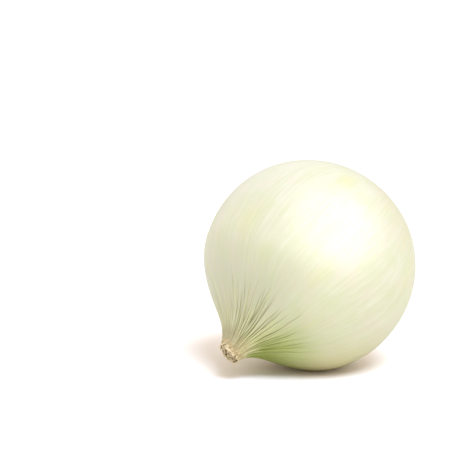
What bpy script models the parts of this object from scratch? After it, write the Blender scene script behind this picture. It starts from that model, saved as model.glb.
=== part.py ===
"""A peeled white onion, lying on its side with its neck pointing down and forwards.

Metres, +Z up. The origin is the middle of the small flat that the bulb rests on. The
onion's own axis lies in the XZ plane: the neck points to -X and dips towards the floor,
and the root end points to +X and up. The parts are modelled upright round that axis,
with the neck at +Z and the equator at Z = 0, and an empty lays them down.
"""

import math
import random

import bmesh
import bpy
from mathutils import Matrix, Vector
from mathutils.geometry import interpolate_bezier

MM = 0.001

# The bulb, measured along its own axis from the equator
BULB_RADIUS = 42.5 * MM
ROOT_HALF_LENGTH = 0.985 * BULB_RADIUS
SHOULDER_LATITUDE = math.radians(28)
SHOULDER_HANDLE = 0.408 * BULB_RADIUS
NECK_TIP = 1.225 * BULB_RADIUS
NECK_TIP_RADIUS = 0.1114 * BULB_RADIUS
NECK_HANDLE = Vector((0.050, -0.313)) * BULB_RADIUS
FLESH_END = 1.13 * BULB_RADIUS
NECK_DIP = math.radians(34)
REST_FLAT_DEPTH = 0.75 * MM
LOW_POINT_OFFSET = 1.5 * MM

# How the onion has grown away from a turned shape
BULB_UNEVEN = ((2, 0.005, 0.9), (3, 0.0035, 0.48), (5, 0.0015, 1.5))
NECK_OVAL = 0.04
NECK_OVAL_TURN = 1.1
NECK_BOW = 0.127 * BULB_RADIUS
ROOT_BOW = 0.035 * BULB_RADIUS
BOW_TURN = math.radians(210)

# The veins, which stand out as ribs where they gather at the neck
RIB_COUNT = 44
RIB_HEIGHT_NECK = 0.36 * MM
RIB_HEIGHT_BELLY = 0.04 * MM
RIB_HEIGHT_ROOT = 0.10 * MM
RIB_SHARE_OUTWARD = 0.4
RIB_MOST_STEEPNESS = 0.3
RIB_SPACING_JITTER = 0.22

# The seats that the dry neck and the root plate sit in
SOCKET_RADIUS = 4.2 * MM
SOCKET_DEPTH = 3.6 * MM
RECESS_RADIUS = 9.0 * MM
RECESS_DEPTH = 1.1 * MM
ROOT_FLAT_RADIUS = 15.0 * MM
SEAT_GAP = 0.3 * MM

# The dry neck: a collar that goes on from the flesh, with torn leaf ends standing on it.
# Each ring of leaf ends: how many, share of the neck's radius, length, arc, lean outwards.
LEAF_RINGS = (
    (13, 0.93, 3.1 * MM, math.radians(36), 0.00),
    (8, 0.58, 2.5 * MM, math.radians(52), 0.06),
    (4, 0.24, 1.9 * MM, math.radians(80), 0.12),
)
LEAF_THICKNESS = 0.65 * MM
LEAF_SUNK = 0.8 * MM
COLLAR_HEIGHT = 1.0 * MM

# The root plate: a corky disc with trimmed roots
PLATE_DOME = 1.5 * MM
ROOT_COUNT = 46
ROOT_RADIUS = 0.62 * MM
ROOT_LENGTH = (1.4 * MM, 3.0 * MM)
ROOT_SUNK = 1.3 * MM
ROOT_RING_RADIUS = 7.4 * MM
ROOT_SPLAY = math.radians(30)

SCREW_STEPS = 2 * RIB_COUNT
WELD_DISTANCE = 0.00002
GOLDEN_ANGLE = math.pi * (3 - math.sqrt(5))


def clear_scene():
    for obj in list(bpy.data.objects):
        bpy.data.objects.remove(obj, do_unlink=True)


def new_collection(name):
    collection = bpy.data.collections.new(name)
    bpy.context.scene.collection.children.link(collection)
    return collection


def new_material(name, colour, roughness):
    material = bpy.data.materials.new(name)
    material.use_nodes = True
    shader = material.node_tree.nodes["Principled BSDF"]
    shader.inputs["Base Color"].default_value = (*colour, 1.0)
    shader.inputs["Roughness"].default_value = roughness
    shader.inputs["Metallic"].default_value = 0.0
    material.diffuse_color = (*colour, 1.0)
    return material


def smooth_step(low, high, value):
    share = min(1.0, max(0.0, (value - low) / (high - low)))
    return share * share * (3 - 2 * share)


def object_from(shape, name, collection):
    """Puts a bmesh into a new object and frees it."""
    mesh = bpy.data.meshes.new(name)
    shape.to_mesh(mesh)
    shape.free()
    obj = bpy.data.objects.new(name, mesh)
    collection.objects.link(obj)
    return obj


def apply_modifiers(obj):
    bpy.context.view_layer.update()
    evaluated = obj.evaluated_get(bpy.context.evaluated_depsgraph_get())
    made = bpy.data.meshes.new_from_object(evaluated)
    obj.modifiers.clear()
    obj.data = made
    made.name = obj.name
    cleaned = bmesh.new()
    cleaned.from_mesh(made)
    bmesh.ops.remove_doubles(cleaned, verts=cleaned.verts, dist=WELD_DISTANCE)
    cleaned.to_mesh(made)
    cleaned.free()


def turned(name, profile, steps, collection):
    """A profile of (radius, height) points, given from top to bottom, turned about Z."""
    mesh = bpy.data.meshes.new(name)
    points = [(radius, 0.0, height) for radius, height in profile]
    edges = [(i, i + 1) for i in range(len(points) - 1)]
    mesh.from_pydata(points, edges, [])
    obj = bpy.data.objects.new(name, mesh)
    collection.objects.link(obj)
    screw = obj.modifiers.new("Turn", "SCREW")
    screw.steps = steps
    screw.render_steps = steps
    screw.use_merge_vertices = True
    screw.merge_threshold = WELD_DISTANCE
    apply_modifiers(obj)
    return obj


def join_collection(core, repeats):
    """Fuses every object of a collection into the core, then removes them."""
    union = core.modifiers.new("Fuse", "BOOLEAN")
    union.operation = "UNION"
    union.operand_type = "COLLECTION"
    union.collection = repeats
    union.solver = "EXACT"
    apply_modifiers(core)
    for obj in list(repeats.objects):
        bpy.data.objects.remove(obj, do_unlink=True)
    bpy.data.collections.remove(repeats)


def grow(obj):
    """Makes a turned piece a little uneven, and bows it as the whole onion is bowed."""
    for vertex in obj.data.vertices:
        point = vertex.co
        angle = math.atan2(point.y, point.x)
        uneven = sum(size * math.cos(count * angle + turn) for count, size, turn in BULB_UNEVEN)
        near_neck = smooth_step(0.9 * BULB_RADIUS, 1.15 * BULB_RADIUS, point.z)
        oval = NECK_OVAL * math.cos(2 * angle + NECK_OVAL_TURN)
        radius = math.hypot(point.x, point.y) * (1 + uneven * (1 - near_neck) + oval * near_neck)
        along = point.z / BULB_RADIUS
        bow = NECK_BOW * max(0.0, along - 0.5) ** 2 + ROOT_BOW * min(0.0, along) ** 2
        vertex.co = (
            radius * math.cos(angle) + bow * math.cos(BOW_TURN),
            radius * math.sin(angle) + bow * math.sin(BOW_TURN),
            point.z,
        )


def finish_part(obj, material, parent, sharp_degrees):
    obj.data.materials.clear()
    obj.data.materials.append(material)
    obj.data.shade_smooth()
    obj.data.set_sharp_from_angle(angle=math.radians(sharp_degrees))
    obj.parent = parent


def neck_flare():
    """The neck's outline as (radius, height) points, from its dry tip down to the shoulder."""
    shoulder = Vector((math.cos(SHOULDER_LATITUDE), math.sin(SHOULDER_LATITUDE))) * BULB_RADIUS
    up_slope = Vector((-math.sin(SHOULDER_LATITUDE), math.cos(SHOULDER_LATITUDE)))
    tip = Vector((NECK_TIP_RADIUS, NECK_TIP))
    shoulder_handle = shoulder + up_slope * SHOULDER_HANDLE
    points = interpolate_bezier(tip, tip + NECK_HANDLE, shoulder_handle, shoulder, 27)
    return [(point.x, point.y) for point in points]


def neck_radius(height):
    """The neck's radius at a height, read off its outline."""
    flare = neck_flare()
    for (r_up, z_up), (r_low, z_low) in zip(flare, flare[1:]):
        if z_low <= height <= z_up:
            return r_low + (r_up - r_low) * (height - z_low) / (z_up - z_low)
    return NECK_TIP_RADIUS


def bulb_profile():
    """The bulb's outline as (radius, height) points, from the neck's socket to the root's recess."""
    socket_floor = FLESH_END - SOCKET_DEPTH
    end_radius = neck_radius(FLESH_END)
    rim = [
        (0.0, socket_floor),
        (SOCKET_RADIUS - 0.3 * MM, socket_floor),
        (SOCKET_RADIUS, socket_floor + 0.3 * MM),
        (SOCKET_RADIUS, FLESH_END),
        (end_radius - 0.2 * MM, FLESH_END),
    ]
    flare = [point for point in neck_flare() if point[1] < FLESH_END - 0.2 * MM]

    arc_steps = 6
    upper = [
        (BULB_RADIUS * math.cos(a), BULB_RADIUS * math.sin(a))
        for a in (SHOULDER_LATITUDE * (1 - (i + 1) / arc_steps) for i in range(arc_steps))
    ]

    root_steps = 13
    root_latitude = math.acos(ROOT_FLAT_RADIUS / BULB_RADIUS)
    lower = [
        (BULB_RADIUS * math.cos(a), -ROOT_HALF_LENGTH * math.sin(a))
        for a in (root_latitude * (i + 1) / root_steps for i in range(root_steps))
    ]

    base = lower[-1][1]
    root_end = [
        (12.4 * MM, base - 0.55 * MM),
        (10.4 * MM, base - 0.65 * MM),
        (RECESS_RADIUS + 0.3 * MM, base - 0.45 * MM),
        (RECESS_RADIUS, base),
        (RECESS_RADIUS, base + RECESS_DEPTH),
        (0.0, base + RECESS_DEPTH),
    ]
    return rim + flare + upper + lower + root_end


def rib_height(radius, height):
    """How high the ribs stand at a height along the axis."""
    near_neck = smooth_step(0.5 * BULB_RADIUS, 0.95 * BULB_RADIUS, height)
    near_root = smooth_step(0.55 * BULB_RADIUS, 0.92 * BULB_RADIUS, -height)
    wanted = (
        RIB_HEIGHT_BELLY
        + (RIB_HEIGHT_NECK - RIB_HEIGHT_BELLY) * near_neck
        + (RIB_HEIGHT_ROOT - RIB_HEIGHT_BELLY) * near_root
    )
    return min(wanted, RIB_MOST_STEEPNESS * 2 * math.pi * radius / RIB_COUNT)


def raise_ribs(bulb):
    """Every second column of the bulb's surface sinks, so that the others stand out as ribs."""
    draw = random.Random(11)
    jitter = RIB_SPACING_JITTER * math.pi / RIB_COUNT
    column_turn = [draw.uniform(-jitter, jitter) for _ in range(SCREW_STEPS)]
    column_depth = [draw.uniform(0.55, 1.0) for _ in range(SCREW_STEPS)]
    recess_top = -ROOT_HALF_LENGTH + 4 * MM
    for vertex in bulb.data.vertices:
        point = vertex.co
        radius = math.hypot(point.x, point.y)
        in_socket = radius < SOCKET_RADIUS + 0.1 * MM and point.z > 0
        in_recess = radius < RECESS_RADIUS + 0.1 * MM and point.z < recess_top
        if in_socket or in_recess:
            continue
        angle = math.atan2(point.y, point.x)
        column = round(angle * SCREW_STEPS / (2 * math.pi)) % SCREW_STEPS
        height = rib_height(radius, point.z) * column_depth[column]
        radius += -height if column % 2 else height * RIB_SHARE_OUTWARD
        angle += column_turn[column]
        vertex.co = (radius * math.cos(angle), radius * math.sin(angle), point.z)


def make_bulb(collection):
    bulb = turned("bulb", bulb_profile(), SCREW_STEPS, collection)
    raise_ribs(bulb)
    grow(bulb)
    return bulb


def cut_rest_flat(bulb, cutters):
    """Takes the lowest sliver off the laid-down bulb, so that it rests on a small flat."""
    side = 2 * BULB_RADIUS
    block = bmesh.new()
    bmesh.ops.create_cube(block, size=side)
    cutter = object_from(block, "rest_cutter", cutters)
    cutter.location = (0, 0, -side / 2)
    cutter.hide_render = True
    cutter.display_type = "WIRE"
    cut = bulb.modifiers.new("Rest flat", "BOOLEAN")
    cut.operation = "DIFFERENCE"
    cut.object = cutter
    cut.solver = "EXACT"


def make_leaf_end(name, draw, ring, middle, collection):
    """One torn leaf end: a thin piece of a ring that stands on the collar and ends in a tear."""
    _, share, length, arc, lean = ring
    sheet = bmesh.new()
    bmesh.ops.create_cube(sheet, size=1.0)
    flat_edges = [e for e in sheet.edges if abs(e.verts[0].co.x - e.verts[1].co.x) < 0.5]
    bmesh.ops.subdivide_edges(sheet, edges=flat_edges, cuts=2, use_grid_fill=True)
    length *= draw.uniform(0.75, 1.1)
    arc *= draw.uniform(0.75, 1.05)
    tear = draw.uniform(-0.3, 0.3)
    notch = draw.uniform(0.0, 0.35)
    sunk = LEAF_SUNK * draw.uniform(0.8, 1.2)
    foot = FLESH_END + SEAT_GAP + COLLAR_HEIGHT
    lean += draw.uniform(-0.04, 0.08)
    shift = draw.uniform(-0.02, 0.02) * MM
    for vertex in sheet.verts:
        along = vertex.co.z + 0.5
        across = vertex.co.y
        ragged = length * along * (tear * across - notch * (1 - 2 * abs(across)) ** 2)
        height = foot - sunk + (sunk + length) * along + ragged
        radius = share * neck_radius(min(height, NECK_TIP)) + vertex.co.x * LEAF_THICKNESS
        radius += lean * length * along * along + shift
        angle = middle + arc * across * (1 - 0.25 * along)
        vertex.co = (radius * math.cos(angle), radius * math.sin(angle), height)
    return object_from(sheet, name, collection)


def make_dry_neck(collection):
    """The dried leaf ends: a collar that goes on from the flesh, with its plug in the socket."""
    plug_radius = SOCKET_RADIUS - SEAT_GAP
    plug_foot = FLESH_END - SOCKET_DEPTH + SEAT_GAP
    collar_foot = FLESH_END + SEAT_GAP
    collar_top = collar_foot + COLLAR_HEIGHT
    top_radius = neck_radius(collar_top)
    profile = [
        (0.0, collar_top - 0.4 * MM),
        (0.5 * top_radius, collar_top - 0.2 * MM),
        (top_radius - 0.3 * MM, collar_top),
        (top_radius - 0.1 * MM, collar_top - 0.2 * MM),
        (neck_radius(collar_foot) - 0.1 * MM, collar_foot),
        (plug_radius, collar_foot),
        (plug_radius, plug_foot + 0.3 * MM),
        (plug_radius - 0.3 * MM, plug_foot),
        (0.0, plug_foot),
    ]
    neck = turned("dry_neck", profile, 36, collection)
    leaf_ends = new_collection("leaf_ends")
    draw = random.Random(5)
    for ring in LEAF_RINGS:
        count = ring[0]
        for i in range(count):
            middle = 2 * math.pi * (i + draw.uniform(-0.15, 0.15)) / count
            make_leaf_end(f"leaf_end_{len(leaf_ends.objects)}", draw, ring, middle, leaf_ends)
    join_collection(neck, leaf_ends)
    grow(neck)
    return neck


def make_root_plate(collection):
    """The corky plate that the roots grew from, with the roots trimmed short."""
    plate_radius = RECESS_RADIUS - SEAT_GAP
    base = -ROOT_HALF_LENGTH * math.sin(math.acos(ROOT_FLAT_RADIUS / BULB_RADIUS))
    seat = base + RECESS_DEPTH - SEAT_GAP
    profile = [
        (0.0, seat),
        (plate_radius - 0.3 * MM, seat),
        (plate_radius, seat - 0.3 * MM),
        (plate_radius, base - 0.1 * MM),
        (0.94 * plate_radius, base - 0.30 * PLATE_DOME),
        (0.78 * plate_radius, base - 0.62 * PLATE_DOME),
        (0.50 * plate_radius, base - 0.90 * PLATE_DOME),
        (0.0, base - PLATE_DOME),
    ]
    plate = turned("root_plate", profile, 36, collection)
    roots = new_collection("roots")
    draw = random.Random(23)
    for i in range(ROOT_COUNT):
        share = math.sqrt((i + 4) / (ROOT_COUNT + 3))
        angle = i * GOLDEN_ANGLE + draw.uniform(-0.2, 0.2)
        out = ROOT_RING_RADIUS * share
        length = draw.uniform(*ROOT_LENGTH)
        thick = ROOT_RADIUS * draw.uniform(0.8, 1.2)
        stub = bmesh.new()
        bmesh.ops.create_cone(
            stub,
            cap_ends=True,
            segments=6,
            radius1=0.75 * thick,
            radius2=thick,
            depth=ROOT_SUNK + length,
        )
        root = object_from(stub, f"root_{i}", roots)
        splay = ROOT_SPLAY * share * share + draw.uniform(-0.12, 0.12)
        dome = base - PLATE_DOME * math.sqrt(1 - (out / plate_radius) ** 2)
        foot = Matrix.Translation((out * math.cos(angle), out * math.sin(angle), dome))
        lean = Matrix.Rotation(angle, 4, "Z") @ Matrix.Rotation(-splay, 4, "Y")
        root.matrix_world = foot @ lean @ Matrix.Translation((0, 0, (ROOT_SUNK - length) / 2))
    join_collection(plate, roots)
    grow(plate)
    return plate


def main():
    clear_scene()
    onion = new_collection("onion")
    cutters = new_collection("cutters")

    onion_axis = bpy.data.objects.new("onion_axis", None)
    onion.objects.link(onion_axis)
    # The flare towards the neck leaves the lowest point a little to the root's side
    onion_axis.location = (-LOW_POINT_OFFSET, 0, BULB_RADIUS - REST_FLAT_DEPTH)
    onion_axis.rotation_euler = (0, -(math.pi / 2 + NECK_DIP), 0)

    flesh = new_material("onion_flesh", (0.86, 0.87, 0.66), 0.35)
    dry_leaf = new_material("dry_leaf", (0.72, 0.58, 0.36), 0.8)
    root_cork = new_material("root_cork", (0.50, 0.38, 0.24), 0.9)

    bulb = make_bulb(onion)
    finish_part(bulb, flesh, onion_axis, 50)
    cut_rest_flat(bulb, cutters)
    finish_part(make_dry_neck(onion), dry_leaf, onion_axis, 30)
    finish_part(make_root_plate(onion), root_cork, onion_axis, 30)
    bpy.context.view_layer.update()


main()
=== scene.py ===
import math
import random

import bpy
import numpy as np
from bpy.props import FloatProperty, FloatVectorProperty, IntProperty, PointerProperty
from mathutils import Matrix, Vector
from mathutils.geometry import interpolate_bezier


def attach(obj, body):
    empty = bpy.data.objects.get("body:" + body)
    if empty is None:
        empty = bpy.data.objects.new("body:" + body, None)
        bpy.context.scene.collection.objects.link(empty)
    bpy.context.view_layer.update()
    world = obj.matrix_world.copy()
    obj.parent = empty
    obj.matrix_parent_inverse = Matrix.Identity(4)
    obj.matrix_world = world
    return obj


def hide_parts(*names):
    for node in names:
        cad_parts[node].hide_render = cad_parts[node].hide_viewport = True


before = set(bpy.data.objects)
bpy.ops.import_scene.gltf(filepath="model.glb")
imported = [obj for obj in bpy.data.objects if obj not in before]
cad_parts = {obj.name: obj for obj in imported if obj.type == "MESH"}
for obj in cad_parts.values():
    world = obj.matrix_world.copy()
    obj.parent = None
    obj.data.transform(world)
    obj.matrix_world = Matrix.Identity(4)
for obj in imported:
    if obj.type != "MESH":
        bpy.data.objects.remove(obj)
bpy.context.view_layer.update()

bl_info = {
    "name": "Peeled onion",
    "version": (1, 0, 0),
    "blender": (4, 5, 0),
    "location": "3D View > Sidebar > Onion",
    "description": "Models a peeled white onion with its dry neck and root plate",
    "category": "Add Mesh",
}

MM = 0.001
FULL_TURN = 2 * math.pi

# The onion's form along its own axis, the same as the solids have
BULB_RADIUS = 42.5 * MM
ROOT_HALF_LENGTH = 0.985 * BULB_RADIUS
SHOULDER_LATITUDE = math.radians(28)
SHOULDER_HANDLE = 0.408 * BULB_RADIUS
NECK_TIP = 1.225 * BULB_RADIUS
NECK_TIP_RADIUS = 0.1114 * BULB_RADIUS
NECK_HANDLE = Vector((0.050, -0.313)) * BULB_RADIUS
FLESH_END = 1.13 * BULB_RADIUS
NECK_DIP = math.radians(34)
REST_FLAT_DEPTH = 0.75 * MM
LOW_POINT_OFFSET = 1.5 * MM
BULB_UNEVEN = ((2, 0.005, 0.9), (3, 0.0035, 0.48), (5, 0.0015, 1.5))
NECK_OVAL = 0.04
NECK_OVAL_TURN = 1.1
NECK_BOW = 0.127 * BULB_RADIUS
ROOT_BOW = 0.035 * BULB_RADIUS
BOW_TURN = math.radians(210)
SOCKET_RADIUS = 4.2 * MM
SOCKET_DEPTH = 3.6 * MM
RECESS_RADIUS = 9.0 * MM
RECESS_DEPTH = 1.1 * MM
ROOT_FLAT_RADIUS = 15.0 * MM
ROOT_FLAT_HEIGHT = -ROOT_HALF_LENGTH * math.sin(math.acos(ROOT_FLAT_RADIUS / BULB_RADIUS))

# How finely the bulb is modelled before its two subdivisions
BULB_COLUMNS = 160
FLARE_RINGS = 15
BELLY_RINGS = 3
LOWER_RINGS = 7
WEIGHT_STEPS = 250

LAY_DOWN = (
    Matrix.Translation((-LOW_POINT_OFFSET, 0, BULB_RADIUS - REST_FLAT_DEPTH))
    @ Matrix.Rotation(-(math.pi / 2 + NECK_DIP), 4, "Y")
)

# The camera: where the picture's middle lies beside the bulb's middle, and how far off it stands
PICTURE_SIZE = 458
PICTURE_SCALE = BULB_RADIUS / 106.86
BULB_IN_PICTURE = (308.8, 264.8)
CAMERA_DISTANCE = 0.7
CAMERA_AZIMUTH = math.radians(-37.6)
CAMERA_ELEVATION = math.radians(8)
SENSOR_WIDTH = 36.0

# The soft lights: name, direction as (right, up, towards the camera), width in degrees,
# strength, colour, and what each one lights
SUNS = (
    ("Soft box", (0.57, 0.55, 0.61), 60, 0.80, (0.96, 1.01, 1.10), "all"),
    ("Ceiling", (-0.18, 0.96, 0.16), 150, 1.06, (0.91, 1.01, 1.36), "all"),
    ("Gloss box", (0.46, 0.63, 0.63), 88, 3.3, (0.97, 1.0, 1.18), "gloss"),
    ("Floor light", (0.17, 0.64, 0.74), 24, 2.6, (0.84, 1.03, 1.42), "floor"),
)
ROOM_LIGHT = 0.72
ROOM_COLOUR = (1.0, 0.91, 0.73)
BACKGROUND_SEEN = (1.1, 1.1, 1.1)
FLOOR_SEEN = (0.89, 0.80, 0.72)
FLOOR_BOUNCE = (0.51, 0.465, 0.355)


def count_property(name, description, default, low, high):
    return IntProperty(name=name, description=description, default=default, min=low, max=high)


def length_property(name, description, default, low, high):
    units = {"subtype": "DISTANCE", "unit": "LENGTH", "precision": 5}
    return FloatProperty(
        name=name, description=description, default=default, min=low, max=high, **units
    )


def colour_property(name, description, default):
    return FloatVectorProperty(
        name=name, description=description, default=default, subtype="COLOR", min=0.0, max=1.0
    )


class OnionSizes(bpy.types.PropertyGroup):
    vein_count: count_property(
        "Veins", "How many strong veins run from the neck round the bulb", 56, 12, 90
    )
    vein_depth: length_property(
        "Vein depth", "How deep the veins are drawn in at the neck", 0.38 * MM, 0.0, 2 * MM
    )
    leaf_thickness: length_property(
        "Dry leaf thickness",
        "How thick the papery ends of the leaves are",
        0.20 * MM,
        0.05 * MM,
        1 * MM,
    )
    root_count: count_property(
        "Roots", "How many trimmed roots stand on the root plate", 210, 0, 400
    )
    root_radius: length_property(
        "Root radius", "Half the thickness of a trimmed root", 0.42 * MM, 0.1 * MM, 2 * MM
    )


class OnionColours(bpy.types.PropertyGroup):
    flesh: colour_property("Flesh", "The pale flesh of the belly", (0.76, 0.785, 0.615))
    flesh_light: colour_property("Light flesh", "The lightest streaks", (0.84, 0.87, 0.77))
    lime: colour_property("Lime", "The yellow-green clouds in the flesh", (0.72, 0.75, 0.38))
    green: colour_property("Green", "The flesh where light turned it green", (0.35, 0.46, 0.035))
    vein: colour_property("Vein", "The bottom of a vein at the neck", (0.11, 0.105, 0.008))
    straw: colour_property("Straw", "The dry leaf ends", (0.94, 0.87, 0.50))
    # The pale colour of torn rims and cut root ends, also laid on as the painted highlight on the
    # torn rims and the painted glints on the torn top
    cream_and_highlight: colour_property("Cream", "The torn rims of the dry leaves", (0.96, 0.82, 0.57))
    # Painted shade: this dark colour is laid into the depths between the dry leaves and into the
    # dark flecks
    depth_shade_brown: colour_property("Brown", "The depths between the dry leaves", (0.20, 0.12, 0.045))
    cork: colour_property("Cork", "The root plate", (0.42, 0.28, 0.14))


def smooth_step(low, high, value):
    share = np.clip((value - low) / (high - low), 0.0, 1.0)
    return share * share * (3 - 2 * share)


def turned_between(start, end):
    """The turn from one angle to another, from minus half a turn to half a turn."""
    return np.remainder(end - start + math.pi, FULL_TURN) - math.pi


# Modelling


def set_mode(mode):
    bpy.ops.object.mode_set(mode=mode)


def select_only(obj):
    bpy.ops.object.select_all(action="DESELECT")
    obj.select_set(True)
    bpy.context.view_layer.objects.active = obj


def start_ring(name, columns, radius, height, closed=True):
    """Adds a circle, closed by a fan, and leaves its rim selected in edit mode."""
    bpy.ops.object.select_all(action="DESELECT")
    bpy.ops.mesh.primitive_circle_add(
        vertices=columns,
        radius=radius,
        fill_type="TRIFAN" if closed else "NOTHING",
        location=(0, 0, height),
    )
    obj = bpy.context.object
    obj.name = obj.data.name = name
    bpy.ops.object.transform_apply(location=True, rotation=True, scale=True)
    set_mode("EDIT")
    bpy.ops.mesh.select_all(action="SELECT")
    if closed:
        bpy.ops.mesh.region_to_loop()
    return obj


def draw_rings(profile):
    """Extrudes the selected ring on through each (radius, height) point after the first."""
    for (radius, height), (next_radius, next_height) in zip(profile, profile[1:]):
        bpy.ops.mesh.extrude_region_move(
            TRANSFORM_OT_translate={"value": (0, 0, next_height - height)}
        )
        share = next_radius / radius
        bpy.ops.transform.resize(value=(share, share, 1), center_override=(0, 0, next_height))


def close_ring():
    """Closes the selected ring with a fan to its middle."""
    bpy.ops.mesh.extrude_region_move(TRANSFORM_OT_translate={"value": (0, 0, 0)})
    bpy.ops.mesh.merge(type="CENTER")


def end_shaping():
    bpy.ops.mesh.select_all(action="SELECT")
    bpy.ops.mesh.normals_make_consistent(inside=False)
    set_mode("OBJECT")


def apply_modifier(obj, kind, **settings):
    select_only(obj)
    modifier = obj.modifiers.new(kind.title(), kind)
    for name, value in settings.items():
        setattr(modifier, name, value)
    bpy.ops.object.modifier_apply(modifier=modifier.name)


def subdivide(obj, levels):
    apply_modifier(obj, "SUBSURF", levels=levels, render_levels=levels)


def turn_shape(name, columns, profile, closed=True):
    """A round shape from its outline, smoothed by two subdivisions."""
    obj = start_ring(name, columns, *profile[0], closed)
    draw_rings(profile)
    if closed:
        close_ring()
    end_shaping()
    subdivide(obj, 2)
    return obj


def join(obj, others):
    select_only(obj)
    for other in others:
        other.select_set(True)
    bpy.ops.object.join()


def points_of(obj):
    points = np.empty(len(obj.data.vertices) * 3, np.float32)
    obj.data.vertices.foreach_get("co", points)
    return points.reshape(-1, 3).astype(np.float64)


def set_points(obj, points):
    obj.data.vertices.foreach_set("co", points.astype(np.float32).ravel())
    obj.data.update()


def store(obj, **attributes):
    """Keeps a value or a vector for every vertex, or one value for all, for the materials."""
    for name, values in attributes.items():
        if np.isscalar(values):
            values = np.full(len(obj.data.vertices), values)
        values = np.asarray(values, np.float32)
        kind, field = ("FLOAT_VECTOR", "vector") if values.ndim == 2 else ("FLOAT", "value")
        attribute = obj.data.attributes.get(name) or obj.data.attributes.new(name, kind, "POINT")
        attribute.data.foreach_set(field, values.ravel())


def sink(obj, name, depths):
    """Sinks the surface along its normals by a depth for every vertex."""
    deepest = float(depths.max())
    group = obj.vertex_groups.new(name=name)
    steps = np.round(depths / deepest * WEIGHT_STEPS).astype(int)
    for step in range(1, WEIGHT_STEPS + 1):
        members = np.flatnonzero(steps == step)
        if len(members):
            group.add(members.tolist(), step / WEIGHT_STEPS, "REPLACE")
    apply_modifier(
        obj, "DISPLACE", vertex_group=name, strength=-deepest, mid_level=0.0, direction="NORMAL"
    )
    obj.vertex_groups.clear()


def roughen(obj, name, where, wide, high, middle):
    """Raises and sinks part of the surface in lumps of the width and height given."""
    lumps = bpy.data.textures.new(name, "CLOUDS")
    lumps.noise_scale = wide
    group = obj.vertex_groups.new(name=name)
    group.add(np.flatnonzero(where).tolist(), 1.0, "REPLACE")
    apply_modifier(
        obj, "DISPLACE", texture=lumps, strength=high, mid_level=middle, vertex_group=name
    )
    obj.vertex_groups.clear()


def copy_of(obj):
    """A copy with a mesh of its own."""
    copy = obj.copy()
    copy.data = obj.data.copy()
    bpy.context.scene.collection.objects.link(copy)
    return copy


def on_ring(angle, radius, height):
    """The move from the origin to a place on a ring round the onion's axis."""
    return Matrix.Translation((radius * math.cos(angle), radius * math.sin(angle), height))


def grow(points):
    """Moves points of the turned shape to where the onion has grown, in the solids' own way."""
    angle = np.arctan2(points[:, 1], points[:, 0])
    height = points[:, 2]
    uneven = sum(size * np.cos(count * angle + turn) for count, size, turn in BULB_UNEVEN)
    near_neck = smooth_step(0.9 * BULB_RADIUS, 1.15 * BULB_RADIUS, height)
    oval = NECK_OVAL * np.cos(2 * angle + NECK_OVAL_TURN)
    radius = np.hypot(points[:, 0], points[:, 1])
    radius = radius * (1 + uneven * (1 - near_neck) + oval * near_neck)
    along = height / BULB_RADIUS
    bow = NECK_BOW * np.maximum(0.0, along - 0.5) ** 2 + ROOT_BOW * np.minimum(0.0, along) ** 2
    across = radius * np.cos(angle) + bow * math.cos(BOW_TURN)
    back = radius * np.sin(angle) + bow * math.sin(BOW_TURN)
    return np.column_stack((across, back, height))


def lay_down(obj):
    """Turns an upright piece onto its side, as the onion lies, with its object at the origin."""
    select_only(obj)
    obj.matrix_world = LAY_DOWN
    bpy.ops.object.transform_apply(location=True, rotation=True, scale=True)


def hand_over(obj, material, node):
    obj.data.materials.clear()
    obj.data.materials.append(material)
    select_only(obj)
    bpy.ops.object.shade_smooth()
    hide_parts(node)
    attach(obj, "root")


# The onion's outline


def neck_flare(count):
    """The neck's outline as (radius, height) points, from its dry tip down to the shoulder."""
    shoulder = Vector((math.cos(SHOULDER_LATITUDE), math.sin(SHOULDER_LATITUDE))) * BULB_RADIUS
    up_slope = Vector((-math.sin(SHOULDER_LATITUDE), math.cos(SHOULDER_LATITUDE)))
    tip = Vector((NECK_TIP_RADIUS, NECK_TIP))
    shoulder_handle = shoulder + up_slope * SHOULDER_HANDLE
    points = interpolate_bezier(tip, tip + NECK_HANDLE, shoulder_handle, shoulder, count)
    return [(point.x, point.y) for point in points]


FLARE = np.array(neck_flare(200))


def neck_radius(height):
    return float(np.interp(-height, -FLARE[:, 1], FLARE[:, 0]))


def bulb_profile():
    """The bulb's outline from the floor of the neck's socket to the root's recess."""
    floor = FLESH_END - SOCKET_DEPTH
    end_radius = neck_radius(FLESH_END)
    profile = [
        (SOCKET_RADIUS - 0.5 * MM, floor),
        (SOCKET_RADIUS, floor + 0.5 * MM),
        (SOCKET_RADIUS, FLESH_END - 0.6 * MM),
        (SOCKET_RADIUS + 0.15 * MM, FLESH_END),
        (end_radius - 0.15 * MM, FLESH_END),
        (end_radius, FLESH_END - 0.3 * MM),
    ]
    flare = neck_flare(FLARE_RINGS + 4)
    profile += [point for point in flare if point[1] < FLESH_END - 1.0 * MM]
    for i in range(BELLY_RINGS):
        latitude = SHOULDER_LATITUDE * (1 - (i + 1) / BELLY_RINGS)
        profile.append((BULB_RADIUS * math.cos(latitude), BULB_RADIUS * math.sin(latitude)))
    root_latitude = math.acos(ROOT_FLAT_RADIUS / BULB_RADIUS)
    for i in range(LOWER_RINGS):
        latitude = root_latitude * (i + 1) / LOWER_RINGS
        profile.append((BULB_RADIUS * math.cos(latitude), -ROOT_HALF_LENGTH * math.sin(latitude)))
    base = ROOT_FLAT_HEIGHT
    return profile + [
        (12.4 * MM, base - 0.55 * MM),
        (10.4 * MM, base - 0.65 * MM),
        (RECESS_RADIUS + 0.3 * MM, base - 0.45 * MM),
        (RECESS_RADIUS, base),
        (RECESS_RADIUS - 0.1 * MM, base + 0.8 * RECESS_DEPTH),
        (RECESS_RADIUS - 1.0 * MM, base + RECESS_DEPTH),
    ]


# The veins

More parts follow.
